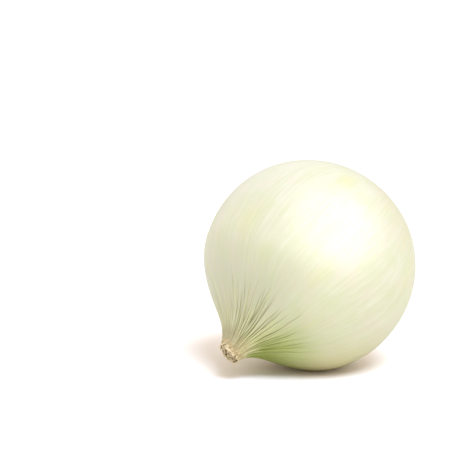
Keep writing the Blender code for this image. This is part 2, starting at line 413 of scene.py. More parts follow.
# Ranks of veins: how many for each strong one, place between them, strength, reach along the
# onion, drift, width, and how much fainter they get where they crowd together at the neck
VEIN_RANKS = (
    (1, 0.00, (0.80, 1.00), (0.74, 0.95), 0.25, 0.17 * MM, 0.0),
    (1, 0.50, (0.45, 1.00), (0.77, 0.97), 0.60, 0.15 * MM, 0.25),
    (2, 0.50, (0.20, 0.60), (0.80, 1.00), 1.20, 0.13 * MM, 0.85),
)
VEIN_SEED = 41
# How a vein sways from side to side: how far as a share of the spacing, and how often
VEIN_SWAYS = (
    ((0.08, 0.22), (5, 11)),
    ((0.03, 0.08), (22, 40)),
    ((0.01, 0.03), (60, 90)),
)

# How far the leaves twist round the onion up to the tip of the neck
LEAF_TWIST = math.radians(14)

# Where the veins are strongest, and how much fainter they are on the far side
VEINED_SIDE = math.radians(-96)
FAR_SIDE_VEINS = 0.42

# How far from the onion's axis the veins start to crowd together, and where they have
CROWD_STARTS = 15 * MM
CROWD_FULL = 8 * MM


def leaf_twist(points):
    return LEAF_TWIST * smooth_step(0.45, 1.2, points[:, 2] / BULB_RADIUS)


def leaf_angle(points):
    """How far round the onion a point lies, counted along the leaves, which twist at the neck."""
    return np.arctan2(points[:, 1], points[:, 0]) + leaf_twist(points)


def twist_with_leaves(points):
    """Turns each ring of the round shape, so that its columns run along the leaves."""
    turn = -leaf_twist(points)
    x = points[:, 0] * np.cos(turn) - points[:, 1] * np.sin(turn)
    y = points[:, 0] * np.sin(turn) + points[:, 1] * np.cos(turn)
    return np.column_stack((x, y, points[:, 2]))


def draw_veins(count):
    """Lays out every vein: its turn round the onion, how it wanders, its strength and reach."""
    draw = random.Random(VEIN_SEED)
    veins = []
    for share, between, strengths, reaches, drift, width, crowding in VEIN_RANKS:
        spacing = FULL_TURN / (count * share)
        for i in range(count * share):
            veins.append(
                {
                    "turn": spacing * (i + between + draw.uniform(-0.26, 0.26)),
                    "drift": spacing * drift * draw.uniform(-1, 1),
                    "sways": [
                        (spacing * draw.uniform(*far), draw.uniform(*often), draw.uniform(0, 6))
                        for far, often in VEIN_SWAYS
                    ],
                    "fading": (draw.uniform(0.05, 0.25), draw.uniform(20, 45), draw.uniform(0, 6)),
                    "strength": draw.uniform(*strengths),
                    "reach": draw.uniform(*reaches),
                    "width": width * draw.uniform(0.8, 1.2),
                    "root_strength": draw.uniform(0.1, 0.5) / share,
                    "crowding": crowding,
                }
            )
    return veins


def vein_grooves(points, count):
    """How deep a vein is drawn in at each point of the turned shape, from 0 to 1."""
    angle = leaf_angle(points)
    radius = np.hypot(points[:, 0], points[:, 1])
    along = points[:, 2] / BULB_RADIUS
    veined = 1 - FAR_SIDE_VEINS * smooth_step(0.72, -0.3, np.cos(angle - VEINED_SIDE))
    crowded = smooth_step(CROWD_STARTS, CROWD_FULL, radius)
    deepest = np.zeros(len(points))
    for vein in draw_veins(count):
        middle = vein["turn"] + vein["drift"] * (1.1 - along)
        for size, pitch, phase in vein["sways"]:
            middle = middle + size * np.sin(pitch * along + phase)
        off = turned_between(middle, angle)
        width = vein["width"] * (1 + 0.9 * smooth_step(11 * MM, 30 * MM, radius))
        near_neck = smooth_step(vein["reach"] - 0.20, vein["reach"] + 0.14, along)
        fading, pitch, phase = vein["fading"]
        near_neck *= 1 - fading * (1 + np.sin(pitch * along + phase))
        near_neck *= 1 - vein["crowding"] * crowded
        near_root = vein["root_strength"] * smooth_step(0.55, 0.90, -along)
        depth = np.maximum(vein["strength"] * near_neck, near_root)
        depth *= np.exp(-((off * radius / width) ** 2))
        deepest = np.maximum(deepest, depth)
    return deepest * veined


def grain_of(points):
    """Where a point lies round and along the onion: (cosine, sine of its turn, share along)."""
    angle = leaf_angle(points)
    return np.column_stack((np.cos(angle), np.sin(angle), points[:, 2] / BULB_RADIUS))


# Materials

# Places round the onion, in degrees: the side towards the camera, the upper side, the side of the
# neck that turned green, the edge of that green, and the side where the dry neck is in shade
CAMERA_SIDE = -90
UPPER_SIDE = 5
GREEN_SIDE = -138
GREEN_EDGE = -132
SHADED_SIDE = 20

# The flesh's smaller tints, beside the colours that the panel offers, with the painted underside
# shade and the painted upper-side shade among them
BLUSH_TINT = (0.86, 0.78, 0.60)
MIDDLE_STREAK_TINT = (0.72, 0.72, 0.44)
FINE_STREAK_TINT = (0.90, 0.92, 0.79)
BRUSHED_TINT = (0.68, 0.68, 0.44)
BLOTCH_TINT = (0.76, 0.77, 0.34)
PAINTED_UNDERSIDE_SHADE = (0.76, 0.62, 0.20)
GREENISH_CLOUD = (0.73, 0.78, 0.52)
PINKISH_CLOUD = (0.84, 0.77, 0.66)
VEIL_TINT = (0.69, 0.75, 0.46)
OLIVE_TINT = (0.80, 0.77, 0.42)
PAINTED_UPPER_SHADE = (0.50, 0.53, 0.40)
DEEP_GREEN = (0.20, 0.20, 0.015)
MAUVE_TINT = (0.76, 0.64, 0.52)
YELLOW_TINT = (0.80, 0.78, 0.30)
ROOT_END_TINT = (0.70, 0.58, 0.34)

# A vein's flanks and the painted highlight on the flesh beside it, and the same three colours
# where the flesh is green
VEIN_FLANK = (0.46, 0.46, 0.12)
RIDGE_HIGHLIGHT = (0.97, 0.94, 0.58)
GREEN_VEIN = (0.045, 0.075, 0.005)
GREEN_VEIN_FLANK = (0.25, 0.34, 0.03)
GREEN_RIDGE_HIGHLIGHT = (0.66, 0.76, 0.30)

# The dry leaf's smaller tints
STRAW_SHADE = (0.68, 0.70, 0.76)
STRAW_VEIN = (0.20, 0.15, 0.05)
STRAW_TAN = (0.60, 0.44, 0.23)

# Yellow-green blotches in the flesh: turn round the onion in degrees, place along it, width,
# length, and the most that the tint covers
BLOTCHES = (
    (-37, -0.48, 0.10, 0.16, 0.50),
    (-10, 0.42, 0.14, 0.22, 0.32),
    (-30, 0.60, 0.12, 0.12, 0.30),
    (-65, 0.42, 0.10, 0.16, 0.28),
    (-105, -0.35, 0.12, 0.22, 0.25),
    (-67, -0.67, 0.08, 0.20, 0.34),
    (-89, -0.52, 0.08, 0.16, 0.25),
    (95, 0.30, 0.13, 0.25, 0.30),
    (160, -0.20, 0.12, 0.20, 0.25),
)
BLOTCH_RAGGEDNESS = 0.10


class Nodes:
    """A node tree that is filled column by column."""

    def __init__(self, tree):
        self.tree = tree
        self.count = 0

    def add(self, kind, inputs=None, **settings):
        node = self.tree.nodes.new(kind)
        node.location = (220 * (self.count // 4), -260 * (self.count % 4))
        self.count += 1
        for name, value in settings.items():
            setattr(node, name, value)
        for name, value in (inputs or {}).items():
            self.feed(node.inputs[name], value)
        return node

    def feed(self, socket, value):
        if isinstance(value, bpy.types.NodeSocket):
            self.tree.links.new(value, socket)
        else:
            socket.default_value = value

    def attribute(self, name, output="Fac"):
        return self.add("ShaderNodeAttribute", attribute_name=name).outputs[output]

    def maths(self, operation, a, b=0.0):
        return self.add("ShaderNodeMath", {0: a, 1: b}, operation=operation).outputs[0]

    def spread(self, value, low, high, to_low=0.0, to_high=1.0, smooth=True):
        """Maps a value's range onto another, held at both ends."""
        kind = "SMOOTHSTEP" if smooth else "LINEAR"
        ends = {"From Min": low, "From Max": high, "To Min": to_low, "To Max": to_high}
        return self.add(
            "ShaderNodeMapRange", {"Value": value, **ends}, interpolation_type=kind
        ).outputs[0]

    def noise(self, vector, scale, detail=2.0, roughness=0.5):
        return self.add(
            "ShaderNodeTexNoise",
            {"Vector": vector, "Scale": scale, "Detail": detail, "Roughness": roughness},
        ).outputs["Fac"]

    def colour_noise(self, vector, scale):
        return self.add("ShaderNodeTexNoise", {"Vector": vector, "Scale": scale}).outputs["Color"]

    def times(self, value, *others):
        """Multiplies values, one after another."""
        for other in others:
            value = self.maths("MULTIPLY", value, other)
        return value

    def vector(self, operation, a, b=(0.0, 0.0, 0.0), output="Vector"):
        return self.add(
            "ShaderNodeVectorMath", {0: a, 1: b}, operation=operation
        ).outputs[output]

    def stretched(self, vector, scale):
        """The vector with each of its parts scaled by its own number."""
        return self.vector("MULTIPLY", vector, scale)

    def mix(self, share, a, b, blend="MIX"):
        """Mixes two colours, each of them three numbers or a socket."""
        a, b = (c if isinstance(c, bpy.types.NodeSocket) else (*c, 1.0) for c in (a, b))
        return self.add(
            "ShaderNodeMix", {0: share, 6: a, 7: b}, data_type="RGBA", blend_type=blend
        ).outputs[2]

    def tint(self, share, most, tint, onto):
        """Lays a tint over a colour, up to the most that it may cover."""
        return self.mix(self.spread(share, 0.0, 1.0, 0.0, most, smooth=False), onto, tint)

    def raise_surface(self, shader, height, strength, distance):
        """Gives the shader a bump from a height over the surface."""
        bump = self.add(
            "ShaderNodeBump", {"Height": height, "Strength": strength, "Distance": distance}
        )
        self.feed(shader.inputs["Normal"], bump.outputs[0])


def new_material(name, **shader_values):
    """A material with its shader's plain values set, and its nodes, to be filled in."""
    material = bpy.data.materials.new(name)
    material.use_nodes = True
    shader = material.node_tree.nodes["Principled BSDF"]
    shader.location = (2400, 0)
    material.node_tree.nodes["Material Output"].location = (2700, 0)
    for socket, value in shader_values.items():
        shader.inputs[socket.replace("_", " ")].default_value = value
    return material, shader, Nodes(material.node_tree)


def streak_group():
    """Streaks that run from neck to root, as a mask, from a point's place round and along."""
    group = bpy.data.node_groups.get("Streaks")
    if group:
        return group
    group = bpy.data.node_groups.new("Streaks", "ShaderNodeTree")
    sockets = group.interface
    sockets.new_socket("Grain", in_out="INPUT", socket_type="NodeSocketVector")
    for name in ("Number", "Length", "Contrast"):
        sockets.new_socket(name, in_out="INPUT", socket_type="NodeSocketFloat")
    sockets.new_socket("Mask", in_out="OUTPUT", socket_type="NodeSocketFloat")
    nodes = Nodes(group)
    entry = nodes.add("NodeGroupInput")
    scale = nodes.add(
        "ShaderNodeCombineXYZ",
        {"X": entry.outputs["Number"], "Y": entry.outputs["Number"], "Z": entry.outputs["Length"]},
    ).outputs[0]
    placed = nodes.stretched(entry.outputs["Grain"], scale)
    mask = nodes.noise(placed, 1.0, detail=3.0, roughness=0.6)
    half = nodes.maths("DIVIDE", 0.5, entry.outputs["Contrast"])
    low = nodes.maths("SUBTRACT", 0.5, half)
    high = nodes.maths("ADD", 0.5, half)
    nodes.add("NodeGroupOutput", {"Mask": nodes.spread(mask, low, high)})
    return group


def streaks(nodes, grain, number, length, contrast):
    """A mask of streaks: how many lie round the onion, how soon they end, how crisp they are."""
    node = nodes.add("ShaderNodeGroup", node_tree=streak_group())
    values = {"Grain": grain, "Number": number, "Length": length, "Contrast": contrast}
    for name, value in values.items():
        nodes.feed(node.inputs[name], value)
    return node.outputs["Mask"]


def facing(nodes, grain, degrees, low, high):
    """How far the surface is turned towards a place round the onion."""
    turn = math.radians(degrees)
    middle = (math.cos(turn), math.sin(turn), 0.0)
    share = nodes.vector("DOT_PRODUCT", grain, middle, output="Value")
    return nodes.spread(share, low, high)


def darker(colour, share):
    return tuple(share * part for part in colour)


def straw_fibres(nodes, grain, vein):
    """The colour of dried leaf: straw with lighter and darker fibres that run with the veins."""
    colours = bpy.context.scene.onion_colours
    fibres = streaks(nodes, grain, 26.0, 1.6, 2.2)
    colour = nodes.mix(fibres, darker(colours.straw, 0.76), colours.straw)
    shaded = facing(nodes, grain, SHADED_SIDE, -0.1, 0.9)
    colour = nodes.mix(shaded, colour, STRAW_SHADE, "MULTIPLY")
    return nodes.mix(nodes.times(vein, 0.85), colour, STRAW_VEIN), fibres


def blotched(nodes, grain, place, colour):
    """Lays the yellow-green blotches over the flesh, with ragged borders."""
    stir = nodes.stretched(nodes.colour_noise(place, 150.0), (BLOTCH_RAGGEDNESS,) * 3)
    ragged_place = nodes.vector("ADD", grain, stir)
    for degrees, along, width, length, most in BLOTCHES:
        turn = math.radians(degrees)
        middle = [part + BLOTCH_RAGGEDNESS / 2 for part in (math.cos(turn), math.sin(turn), along)]
        off = nodes.vector("SUBTRACT", ragged_place, middle)
        off = nodes.stretched(off, (1 / width, 1 / width, 1 / length))
        far = nodes.vector("LENGTH", off, output="Value")
        colour = nodes.mix(nodes.spread(far, 1.3, 0.2, 0.0, most), colour, BLOTCH_TINT)
    return colour


def flesh_material():
    """Pale flesh in streaks and blotches, turning olive and green with dark veins at the neck."""
    colours = bpy.context.scene.onion_colours
    material, shader, nodes = new_material(
        "Onion flesh",
        IOR=1.45,
        Subsurface_Weight=0.10,
        Subsurface_Radius=(1.0, 0.9, 0.45),
        Subsurface_Scale=1.2 * MM,
        Coat_Roughness=0.36,
        Coat_IOR=1.6,
    )
    grain = nodes.attribute("grain", "Vector")
    vein = nodes.attribute("vein")
    under = nodes.attribute("under")
    along = nodes.add("ShaderNodeSeparateXYZ", {0: grain}).outputs["Z"]
    place = nodes.add("ShaderNodeTexCoord").outputs["Object"]

    # Streaks from broad to as fine as brush marks, two of them turned so that none repeats another
    patches = streaks(nodes, grain, 2.2, 1.6, 2.6)
    blush = streaks(nodes, nodes.stretched(grain, (-1.0, -1.0, 1.0)), 3.1, 2.1, 2.6)
    broad = streaks(nodes, grain, 6.0, 0.9, 2.6)
    middle = streaks(nodes, grain, 15.0, 1.0, 2.4)
    fine = streaks(nodes, grain, 36.0, 2.6, 2.2)
    brushed = streaks(nodes, grain, 74.0, 4.5, 2.0)
    tinged = streaks(nodes, nodes.stretched(grain, (-1.0, 1.0, 1.0)), 13.0, 4.0, 2.2)

    # The belly
    colour = nodes.mix(broad, colours.flesh, colours.flesh_light)
    colour = nodes.tint(patches, 0.36, colours.lime, colour)
    colour = nodes.tint(blush, 0.30, BLUSH_TINT, colour)
    colour = nodes.tint(middle, 0.32, MIDDLE_STREAK_TINT, colour)
    colour = nodes.tint(fine, 0.52, FINE_STREAK_TINT, colour)
    colour = nodes.tint(brushed, 0.42, BRUSHED_TINT, colour)
    colour = blotched(nodes, grain, place, colour)
    # Painted shade and painted floor reflection: the side that the onion rests on is turned a
    # saturated brownish yellow
    colour = nodes.tint(under, 0.75, PAINTED_UNDERSIDE_SHADE, colour)
    clouds = nodes.noise(place, 120.0, detail=2.0)
    colour = nodes.mix(nodes.spread(clouds, 0.52, 0.68, 0.0, 0.45), colour, GREENISH_CLOUD)
    colour = nodes.mix(nodes.spread(clouds, 0.48, 0.33, 0.0, 0.34), colour, PINKISH_CLOUD)

    # A green veil on the shoulder, olive all round the neck, and painted shade that darkens the
    # upper side of the shoulder and neck
    veil = nodes.times(
        facing(nodes, grain, CAMERA_SIDE, 0.1, 0.9),
        nodes.spread(along, 0.15, 0.75, 0.0, 0.36),
        nodes.spread(broad, 0.0, 1.0, 0.5, 1.0),
    )
    colour = nodes.mix(veil, colour, VEIL_TINT)
    olive = nodes.times(
        nodes.spread(along, 0.74, 1.04, 0.0, 0.72), nodes.spread(fine, 0.0, 1.0, 0.75, 1.0)
    )
    colour = nodes.mix(olive, colour, OLIVE_TINT)
    above = facing(nodes, grain, UPPER_SIDE, 0.0, 0.8)
    upper_shade_share = nodes.times(above, nodes.spread(along, 0.40, 0.95, 0.0, 0.60))
    colour = nodes.mix(upper_shade_share, colour, PAINTED_UPPER_SHADE)

    # Green on the underside of the neck, narrower towards its tip, and deepest where it is full
    green_side = facing(nodes, grain, GREEN_EDGE, 0.55, 1.0)
    lowest_side = facing(nodes, grain, GREEN_SIDE, 0.75, 1.0)
    green = nodes.times(
        facing(nodes, grain, GREEN_SIDE, 0.05, 0.95),
        nodes.spread(along, 0.62, 0.94),
        nodes.maths("MAXIMUM", lowest_side, nodes.spread(along, 1.08, 0.98)),
        nodes.spread(along, 1.05, 1.14, 1.0, 0.25),
        nodes.spread(middle, 0.0, 1.0, 0.72, 1.0),
    )
    not_green = nodes.maths("SUBTRACT", 1.0, green)
    colour = nodes.mix(green, colour, colours.green)
    deep = nodes.times(green, nodes.spread(along, 0.85, 0.97, 0.0, 0.36))
    colour = nodes.mix(deep, colour, DEEP_GREEN)

    # Mauve and yellow tinges between the veins
    hues = nodes.times(nodes.spread(along, 0.50, 0.82), not_green)
    mauve = nodes.times(hues, nodes.spread(tinged, 0.42, 0.0, 0.0, 0.38))
    colour = nodes.mix(mauve, colour, MAUVE_TINT)
    yellow = nodes.times(hues, nodes.spread(tinged, 0.60, 1.0, 0.0, 0.34))
    colour = nodes.mix(yellow, colour, YELLOW_TINT)

    # Painted highlight on the flesh between the veins near the neck, weaker on the upper side and
    # towards the green side; then each vein's flanks and its dark line
    ridge_highlight_share = nodes.times(
        nodes.spread(vein, 0.02, 0.30, 1.0, 0.0),
        nodes.spread(along, 0.84, 1.02),
        nodes.spread(above, 0.0, 1.0, 0.56, 0.1),
        not_green,
        nodes.spread(green_side, 0.0, 1.0, 1.0, 0.3),
    )
    colour = nodes.mix(ridge_highlight_share, colour, RIDGE_HIGHLIGHT)
    # Painted highlight on the green flesh between the veins
    green_ridge_highlight_share = nodes.times(
        green, nodes.spread(vein, 0.01, 0.20, 0.24, 0.0), nodes.spread(tinged, 0.35, 0.75)
    )
    colour = nodes.mix(green_ridge_highlight_share, colour, GREEN_RIDGE_HIGHLIGHT)
    shown = nodes.spread(along, 0.55, 1.0, 0.12, 1.0)
    flanks = nodes.times(nodes.spread(vein, 0.0, 0.6, 0.0, 0.55), shown)
    colour = nodes.mix(flanks, colour, nodes.mix(green, VEIN_FLANK, GREEN_VEIN_FLANK))
    lines = nodes.times(nodes.spread(vein, 0.15, 1.0, smooth=False), shown)
    colour = nodes.mix(lines, colour, nodes.mix(green, colours.vein, GREEN_VEIN))

    # The flesh dries to straw at the end of the neck, and yellows at the root end
    straw, fibres = straw_fibres(nodes, grain, vein)
    edge = nodes.maths("ADD", along, nodes.times(fibres, 0.05))
    edge = nodes.maths("SUBTRACT", edge, nodes.spread(green_side, 0.0, 1.0, 0.0, 0.065))
    colour = nodes.mix(nodes.spread(edge, 1.04, 1.13), colour, straw)
    colour = nodes.mix(nodes.spread(along, -0.90, -0.97), colour, ROOT_END_TINT)

    nodes.feed(shader.inputs["Base Color"], colour)
    nodes.feed(shader.inputs["Roughness"], nodes.spread(fine, 0.0, 1.0, 0.40, 0.48))
    nodes.feed(shader.inputs["Coat Weight"], nodes.spread(along, 1.06, 0.90, 0.0, 0.9))
    relief = nodes.maths("ADD", middle, nodes.maths("ADD", fine, brushed))
    nodes.raise_surface(shader, relief, 0.3, 0.08 * MM)
    return material


def dry_leaf_material():
    """Straw with fibres, tanned and flecked on the torn ends, with a painted highlight on the torn
    rims and painted shade in the depths.
    """
    colours = bpy.context.scene.onion_colours
    material, shader, nodes = new_material("Dry leaf", IOR=1.45)
    grain = nodes.attribute("grain", "Vector")
    rim = nodes.attribute("rim")
    inside = nodes.attribute("inside")
    vein = nodes.attribute("vein")
    height = nodes.attribute("height")
    place = nodes.add("ShaderNodeTexCoord").outputs["Object"]
    colour, fibres = straw_fibres(nodes, grain, vein)
    flecks = nodes.noise(place, 1100.0, detail=3.0)
    patches = nodes.noise(place, 420.0)
    tan = nodes.times(height, nodes.spread(patches, 0.38, 0.60, 0.1, 0.75))
    colour = nodes.mix(tan, colour, STRAW_TAN)
    # Light and dark flecks on the torn top: its mottled colour, with painted glints in the light
    # flecks and painted shade of the gaps in the dark ones
    light = nodes.times(height, nodes.spread(flecks, 0.5, 0.7, 0.0, 0.7))
    colour = nodes.mix(light, colour, colours.cream_and_highlight)
    dark = nodes.times(height, nodes.spread(flecks, 0.47, 0.30, 0.0, 0.6))
    colour = nodes.mix(dark, colour, colours.depth_shade_brown)
    # Painted shade: the inner walls and the inner leaves are darkened as the depths between the
    # leaves
    colour = nodes.mix(inside, colour, colours.depth_shade_brown)
    # Painted highlight on the torn rims, over their own pale colour
    lit = nodes.times(rim, nodes.spread(flecks, 0.30, 0.50, 0.4, 1.0))
    colour = nodes.mix(lit, colour, colours.cream_and_highlight)
    nodes.feed(shader.inputs["Base Color"], colour)
    nodes.feed(shader.inputs["Roughness"], nodes.spread(flecks, 0.2, 0.8, 0.65, 0.9))
    nodes.raise_surface(shader, fibres, 0.5, 0.1 * MM)
    return material


def cork_material():
    """Grainy cork in patches, with pale cut ends on the roots."""
    colours = bpy.context.scene.onion_colours
    material, shader, nodes = new_material("Root cork", IOR=1.45)
    place = nodes.add("ShaderNodeTexCoord").outputs["Object"]
    tip = nodes.attribute("rim")
    grains = nodes.noise(place, 900.0, detail=4.0, roughness=0.65)
    patches = nodes.noise(place, 220.0, detail=2.0)
    colour = nodes.mix(nodes.spread(grains, 0.3, 0.7), darker(colours.cork, 0.55), colours.cork)
    colour = nodes.mix(nodes.spread(patches, 0.4, 0.65, 0.0, 0.5), colour, colours.straw)
    cut_end = nodes.times(tip, nodes.spread(patches, 0.35, 0.62, 0.35, 1.0))
    colour = nodes.mix(cut_end, colour, colours.cream_and_highlight)
    nodes.feed(shader.inputs["Base Color"], colour)
    nodes.feed(shader.inputs["Roughness"], nodes.spread(grains, 0.2, 0.8, 0.75, 0.95))
    nodes.raise_surface(shader, grains, 0.8, 0.25 * MM)
    return material


class ONION_OT_bulb(bpy.types.Operator):
    """Model the fleshy bulb, with the veins that gather at its neck"""

    bl_idname = "onion.bulb"
    bl_label = "Add bulb"

    def execute(self, context):
        sizes = context.scene.onion_sizes
        bulb = turn_shape("onion_bulb", BULB_COLUMNS, bulb_profile())
        points = twist_with_leaves(points_of(bulb))
        grooves = vein_grooves(points, sizes.vein_count)
        by_recess = np.hypot(points[:, 0], points[:, 1]) < RECESS_RADIUS + 0.2 * MM
        grooves[by_recess & (points[:, 2] < 0)] = 0
        store(bulb, grain=grain_of(points), vein=grooves, under=self.underside(points))
        set_points(bulb, grow(points))
        near_neck = smooth_step(0.72, 1.0, points[:, 2] / BULB_RADIUS)
        depth = sizes.vein_depth * (0.04 + 0.96 * near_neck)
        sink(bulb, "veins", depth * grooves)

        lay_down(bulb)
        self.flatten_rest_spot(bulb)
        hand_over(bulb, flesh_material(), "bulb")
        return {"FINISHED"}

    def underside(self, points):
        """How far a point of the turned shape lies on the side that the onion rests on: the mask
        of the painted underside shade.
        """
        down = LAY_DOWN.to_3x3().inverted() @ Vector((0, 0, -1))
        shares = points @ np.array(down) / BULB_RADIUS
        return smooth_step(0.45, 1.05, shares)

    def flatten_rest_spot(self, bulb):
        """Presses what lies under the floor flat onto it."""
        below = points_of(bulb)[:, 2] < 0
        select_only(bulb)
        set_mode("EDIT")
        bpy.ops.mesh.select_all(action="DESELECT")
        set_mode("OBJECT")
        bulb.data.vertices.foreach_set("select", below)
        set_mode("EDIT")
        bpy.ops.mesh.select_mode(type="VERT")
        bpy.ops.transform.resize(value=(1, 1, 0), center_override=(0, 0, 0))
        set_mode("OBJECT")


# The dry neck, one torn leaf inside the other:
# share of the neck's radius, foot and rim above the end of the flesh, raggedness, crease, seed,
# and how many columns it is modelled with
LEAF_SHEATHS = (
    (1.000, -1.4 * MM, 4.0 * MM, 1.3 * MM, 0.030, 3, 112),
    (0.850, -0.5 * MM, 4.1 * MM, 1.2 * MM, 0.070, 8, 56),
    (0.700, -0.5 * MM, 4.1 * MM, 1.3 * MM, 0.110, 13, 48),
    (0.550, -0.5 * MM, 4.0 * MM, 1.3 * MM, 0.150, 21, 48),
    (0.400, -0.5 * MM, 4.0 * MM, 1.2 * MM, 0.170, 34, 40),
    (0.240, -0.5 * MM, 3.9 * MM, 0.9 * MM, 0.180, 55, 32),
)
SHEATH_RINGS = 9
VEIN_CREASE = 0.30 * MM

# The creases of a dried leaf: how many run round it, and how deep each kind is
CREASES = ((2, 0.5), (3, 0.6), (7, 0.5), (11, 0.45), (17, 0.3))

# The outermost leaf lies tight at its foot, and hardly swells anywhere
FOOT_SQUEEZE = 0.035
MOST_SWELL = 1.03

# The rim stands highest on one side, where the longest leaf lies
LONG_SIDE = math.radians(-60)
LONG_SIDE_RISE = 0.45 * MM

# The torn shreds: each is drawn on in steps that curl outwards and get narrower
SHRED_COUNT = 34
SHRED_SEED = 77
SHRED_WIDTH = 0.35 * MM
SHRED_FOOT = 0.55 * MM
SHRED_THICKNESS = 0.14 * MM
SHRED_STEPS = 4
SHRED_STEP = 0.42 * MM
SHRED_CURL = math.radians(24)
SHRED_TAPER = 0.74
SHRED_RINGS = (0.3, 0.5, 0.68, 0.86, 0.95, 1.0)


def ragged(angle, draw, coarse, fine):
    """A torn line round the neck: slow swells with sharp nicks in them."""
    line = np.zeros_like(angle)
    for count in (2, 3, 5, 8, 13):
        line += coarse / math.sqrt(count) * np.cos(count * angle + draw.uniform(0, FULL_TURN))
    nicks = np.zeros_like(angle)
    for _ in range(9):
        middle, width = draw.uniform(-math.pi, math.pi), draw.uniform(0.05, 0.16)
        off = turned_between(middle, angle)
        nicks = np.minimum(nicks, -draw.uniform(0.4, 1.2) * np.exp(-((off / width) ** 2)))
    return line + fine * nicks


def torn_edge(up):
    """How near a point is to the torn rim, from its share of the way up the leaf."""
    return np.clip((up - 0.84) / 0.12, 0, 1)


